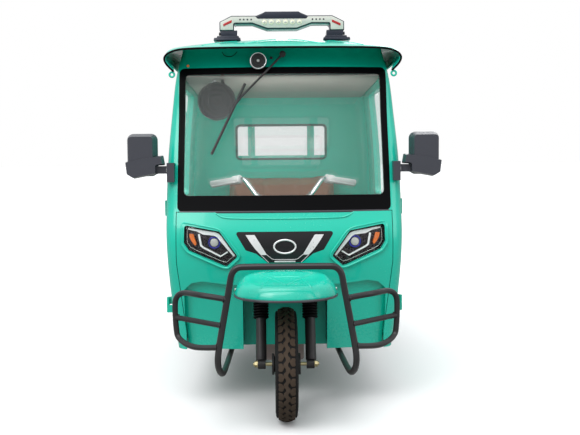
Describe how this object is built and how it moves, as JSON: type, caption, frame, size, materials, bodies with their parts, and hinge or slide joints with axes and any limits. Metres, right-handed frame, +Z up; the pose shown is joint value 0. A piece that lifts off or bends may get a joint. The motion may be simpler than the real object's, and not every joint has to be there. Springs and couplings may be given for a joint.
{
  "type": "electric cargo tricycle",
  "caption": "Closed-cab electric cargo tricycle with a steered front wheel on a fork, opening doors and a drop-side cargo bed over a leaf-sprung rear axle.",
  "frame": {"origin": "on the ground under the middle of the whole vehicle", "axes": "+X is the vehicle's left, -Y is forward, +Z is up"},
  "size_m": [1.4172, 3.16, 1.8199],
  "materials": {
    "bed_sheet": "ribbed painted sheet",
    "black_tube": "satin black powder coat",
    "body_paint": "gloss teal-green paint",
    "bright_steel": "zinc-plated steel",
    "cast_metal": "painted axle casting",
    "chassis_paint": "satin black paint",
    "chrome_trim": "polished chrome",
    "dark_plastic": "grained black plastic",
    "flap_rubber": "faded flap rubber",
    "glass_clear": "clear tinted safety glass",
    "gloss_black": "gloss black plastic",
    "lamp_lens": "clear lamp lens",
    "lamp_red": "red lamp lens",
    "lamp_white": "white lamp face",
    "liner_plastic": "dark grey liner",
    "mirror_face": "mirror glass",
    "rim_steel": "black painted rim",
    "seal_rubber": "black seal rubber",
    "seat_leather": "brown leatherette",
    "tyre_rubber": "treaded tyre rubber"
  },
  "bodies": {
    "vehicle": {"chassis_frame": "chassis_paint", "cab_floor": "body_paint", "front_fascia": "body_paint", "wheel_well": "liner_plastic", "cab_frame": "body_paint", "cab_back": "body_paint", "roof_panel": "body_paint", "cab_glass": "glass_clear", "window_seals": "seal_rubber", "nose_trim": "gloss_black", "nose_chrome": "chrome_trim", "headlamp_housings": "gloss_black", "headlamp_lenses": "lamp_lens", "light_bar": "dark_plastic", "light_bar_lens": "lamp_white", "wiper": "dark_plastic", "header_horn": "chrome_trim", "mirrors": "dark_plastic", "mirror_glass": "mirror_face", "bumper_bar": "black_tube", "seat_box": "chassis_paint", "seat_cushion": "seat_leather", "seat_back": "seat_leather", "dashboard": "dark_plastic", "cab_fan": "dark_plastic", "mud_flap": "flap_rubber", "brake_pedal": "dark_plastic", "battery_pack": "cast_metal", "rear_axle": "cast_metal", "leaf_springs": "chassis_paint", "rear_mudguards": "dark_plastic", "bed_floor": "bed_sheet", "bed_headboard": "body_paint", "tail_lights": "lamp_red", "charging_cover": "dark_plastic"},
    "steering": {"steering_stem": "chassis_paint", "fork_legs": "black_tube", "fork_boots": "seal_rubber", "front_axle": "bright_steel", "handlebar": "chrome_trim", "handlebar_controls": "dark_plastic", "front_fender": "body_paint", "fender_edge": "seal_rubber"},
    "front_wheel": {"front_tyre": "tyre_rubber", "front_rim": "rim_steel"},
    "rear_wheel_left": {"rear_tyre_left": "tyre_rubber", "rear_rim_left": "rim_steel"},
    "rear_wheel_right": {"rear_tyre_right": "tyre_rubber", "rear_rim_right": "rim_steel"},
    "left_door": {"door_left": "body_paint", "door_left_glass": "glass_clear"},
    "right_door": {"door_right": "body_paint", "door_right_glass": "glass_clear"},
    "left_bed_side": {"bed_side_left": "body_paint"},
    "right_bed_side": {"bed_side_right": "body_paint"},
    "bed_tailgate": {"tailgate": "body_paint"}
  },
  "joints": [
    {"name": "steering_turn", "type": "hinge", "parent": "vehicle", "child": "steering", "pos_m": [0, -1.21225, 0.243], "axis": [0, 0.3746, 0.9272], "range_deg": [-35, 35]},
    {"name": "front_wheel_spin", "type": "hinge", "parent": "steering", "child": "front_wheel", "pos_m": [0, -1.25, 0.243], "axis": [1, 0, 0], "continuous": true},
    {"name": "rear_wheel_left_spin", "type": "hinge", "parent": "vehicle", "child": "rear_wheel_left", "pos_m": [0.475, 0.9, 0.243], "axis": [1, 0, 0], "continuous": true},
    {"name": "rear_wheel_right_spin", "type": "hinge", "parent": "vehicle", "child": "rear_wheel_right", "pos_m": [-0.475, 0.9, 0.243], "axis": [1, 0, 0], "continuous": true},
    {"name": "door_left_hinge", "type": "hinge", "parent": "vehicle", "child": "left_door", "pos_m": [0.542, -0.924, 0.675], "axis": [0, 0, -1], "range_deg": [0, 65]},
    {"name": "door_right_hinge", "type": "hinge", "parent": "vehicle", "child": "right_door", "pos_m": [-0.542, -0.924, 0.675], "axis": [0, 0, 1], "range_deg": [0, 65]},
    {"name": "bed_side_left_hinge", "type": "hinge", "parent": "vehicle", "child": "left_bed_side", "pos_m": [0.557, 0.82, 0.597], "axis": [0, 1, 0], "range_deg": [0, 170]},
    {"name": "bed_side_right_hinge", "type": "hinge", "parent": "vehicle", "child": "right_bed_side", "pos_m": [-0.557, 0.82, 0.597], "axis": [0, -1, 0], "range_deg": [0, 170]},
    {"name": "tailgate_hinge", "type": "hinge", "parent": "vehicle", "child": "bed_tailgate", "pos_m": [0, 1.573, 0.597], "axis": [-1, 0, 0], "range_deg": [0, 170]}
  ]
}
